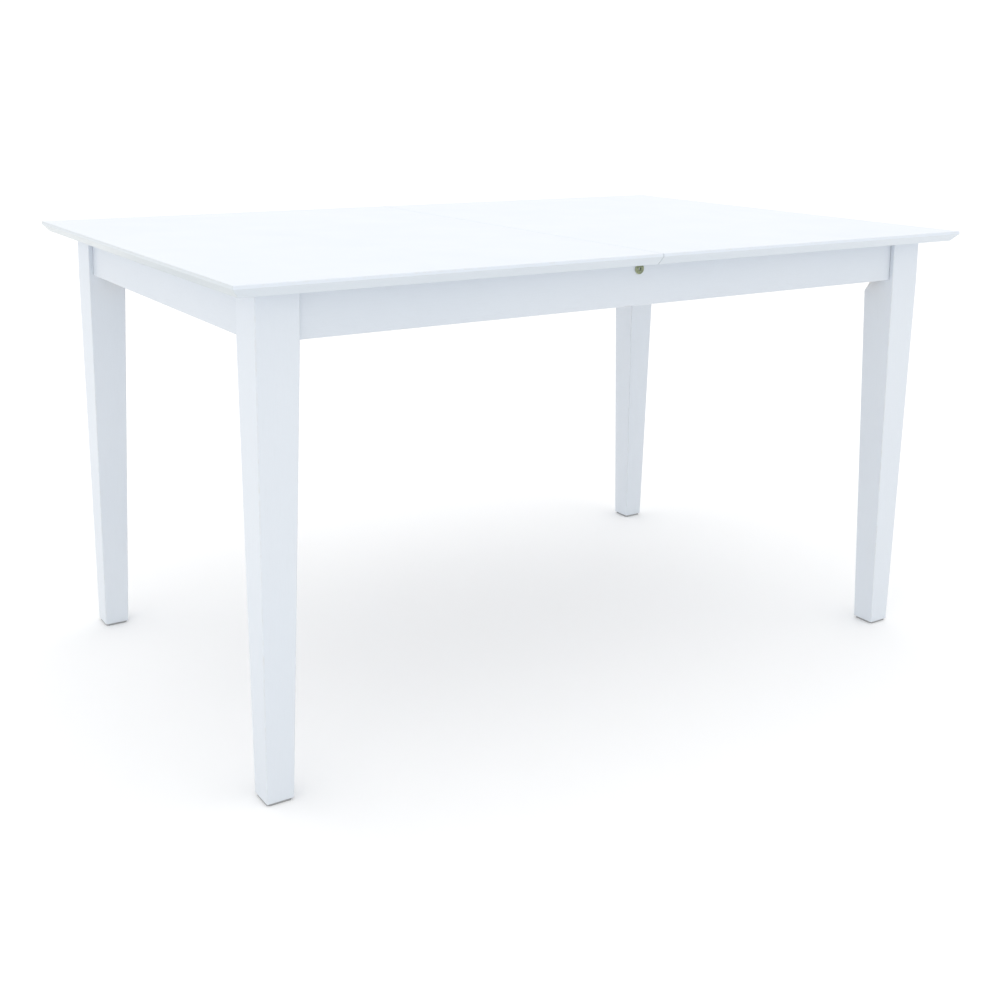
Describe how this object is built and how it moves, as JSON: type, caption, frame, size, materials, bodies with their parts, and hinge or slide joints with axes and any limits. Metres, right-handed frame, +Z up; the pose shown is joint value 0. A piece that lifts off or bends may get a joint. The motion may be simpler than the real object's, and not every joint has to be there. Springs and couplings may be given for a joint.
{
  "type": "extendable dining table",
  "caption": "White lacquered rectangular dining table on tapered legs; its top parts at a middle seam and slides apart over a fixed apron frame that stores a folded leaf.",
  "frame": {"origin": "on the floor under the middle of the table", "axes": "+X along the table's length, the way the top opens; +Y towards its rear long side, -Y its front; +Z up"},
  "size_m": [1.4, 0.9, 0.75],
  "materials": {
    "top_lacquer": "white lacquer on wood board, satin to semi-gloss",
    "frame_lacquer": "wood with opaque white lacquer, satin",
    "bare_hardwood": "bare planed hardwood",
    "antique_brass": "antique brass, satin",
    "zinc_steel": "zinc-plated steel",
    "nylon": "natural nylon",
    "grey_glide": "mid-grey matt plastic"
  },
  "bodies": {
    "frame": {"apron_front": "frame_lacquer", "apron_left": "frame_lacquer", "apron_rear": "frame_lacquer", "apron_right": "frame_lacquer", "corner_block_front_left": "bare_hardwood", "corner_block_front_right": "bare_hardwood", "corner_block_rear_left": "bare_hardwood", "corner_block_rear_right": "bare_hardwood", "foot_glide_front_left": "grey_glide", "foot_glide_front_right": "grey_glide", "foot_glide_rear_left": "grey_glide", "foot_glide_rear_right": "grey_glide", "leaf_half_lower": "top_lacquer", "leaf_half_upper": "top_lacquer", "leaf_hinge_left": "antique_brass", "leaf_hinge_right": "antique_brass", "leaf_rest_left": "bare_hardwood", "leaf_rest_right": "bare_hardwood", "leg_bolt_front_left": "zinc_steel", "leg_bolt_front_right": "zinc_steel", "leg_bolt_rear_left": "zinc_steel", "leg_bolt_rear_right": "zinc_steel", "leg_front_left": "frame_lacquer", "leg_front_right": "frame_lacquer", "leg_nut_front_left": "zinc_steel", "leg_nut_front_right": "zinc_steel", "leg_nut_rear_left": "zinc_steel", "leg_nut_rear_right": "zinc_steel", "leg_rear_left": "frame_lacquer", "leg_rear_right": "frame_lacquer", "slide_pad_front_left": "nylon", "slide_pad_front_right": "nylon", "slide_pad_rear_left": "nylon", "slide_pad_rear_right": "nylon", "slide_track_front": "zinc_steel", "slide_track_rear": "zinc_steel", "track_bolt_front": "antique_brass", "track_bolt_rear": "antique_brass", "track_nut_front": "zinc_steel", "track_nut_rear": "zinc_steel", "track_stop_front_left": "nylon", "track_stop_front_right": "nylon", "track_stop_rear_left": "nylon", "track_stop_rear_right": "nylon"},
    "left_top": {"left_runner_front": "zinc_steel", "left_runner_rear": "zinc_steel", "left_top_panel": "top_lacquer", "lock_plate_front": "zinc_steel", "lock_plate_rear": "zinc_steel", "seam_dowel_front": "bare_hardwood", "seam_dowel_middle": "bare_hardwood", "seam_dowel_rear": "bare_hardwood"},
    "right_top": {"lock_keeper_front": "zinc_steel", "lock_keeper_rear": "zinc_steel", "right_runner_front": "zinc_steel", "right_runner_rear": "zinc_steel", "right_top_panel": "top_lacquer"},
    "lock_lever_front": {"lock_lever_front": "antique_brass"},
    "lock_lever_rear": {"lock_lever_rear": "antique_brass"}
  },
  "joints": [
    {"name": "left_top_slide", "type": "slide", "parent": "frame", "child": "left_top", "axis": [-1, 0, 0], "range_m": [0, 0.215]},
    {"name": "right_top_slide", "type": "slide", "parent": "frame", "child": "right_top", "axis": [1, 0, 0], "range_m": [0, 0.215]},
    {"name": "lock_lever_front_turn", "type": "hinge", "parent": "left_top", "child": "lock_lever_front", "pos_m": [-0.026, -0.28, 0.7267], "axis": [0, 0, -1], "range_deg": [0, 90]},
    {"name": "lock_lever_rear_turn", "type": "hinge", "parent": "left_top", "child": "lock_lever_rear", "pos_m": [-0.026, 0.28, 0.7267], "axis": [0, 0, 1], "range_deg": [0, 90]}
  ]
}
